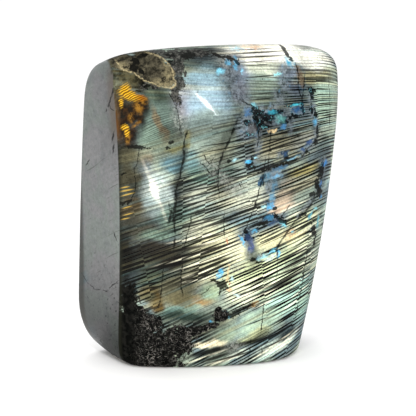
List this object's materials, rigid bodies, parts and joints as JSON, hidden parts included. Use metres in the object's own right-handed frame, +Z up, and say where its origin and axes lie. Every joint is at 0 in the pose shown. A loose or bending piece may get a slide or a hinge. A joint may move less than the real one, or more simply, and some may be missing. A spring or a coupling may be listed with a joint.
{
  "type": "polished labradorite freeform",
  "caption": "Free-standing polished labradorite with a domed flash face, a sawn side and a flat sawn base; a display stone.",
  "frame": {"origin": "on the flat base, under the middle of the stone's box", "axes": "+Z up; the domed flash face looks towards -Y; +X is to the right as the face is seen"},
  "size_m": [0.1144, 0.0528, 0.14],
  "materials": {
    "polished_stone": "polished, dark feldspar with a banded green-gold and blue flash"
  },
  "bodies": {
    "root": {"labradorite": "polished_stone"}
  },
  "joints": []
}
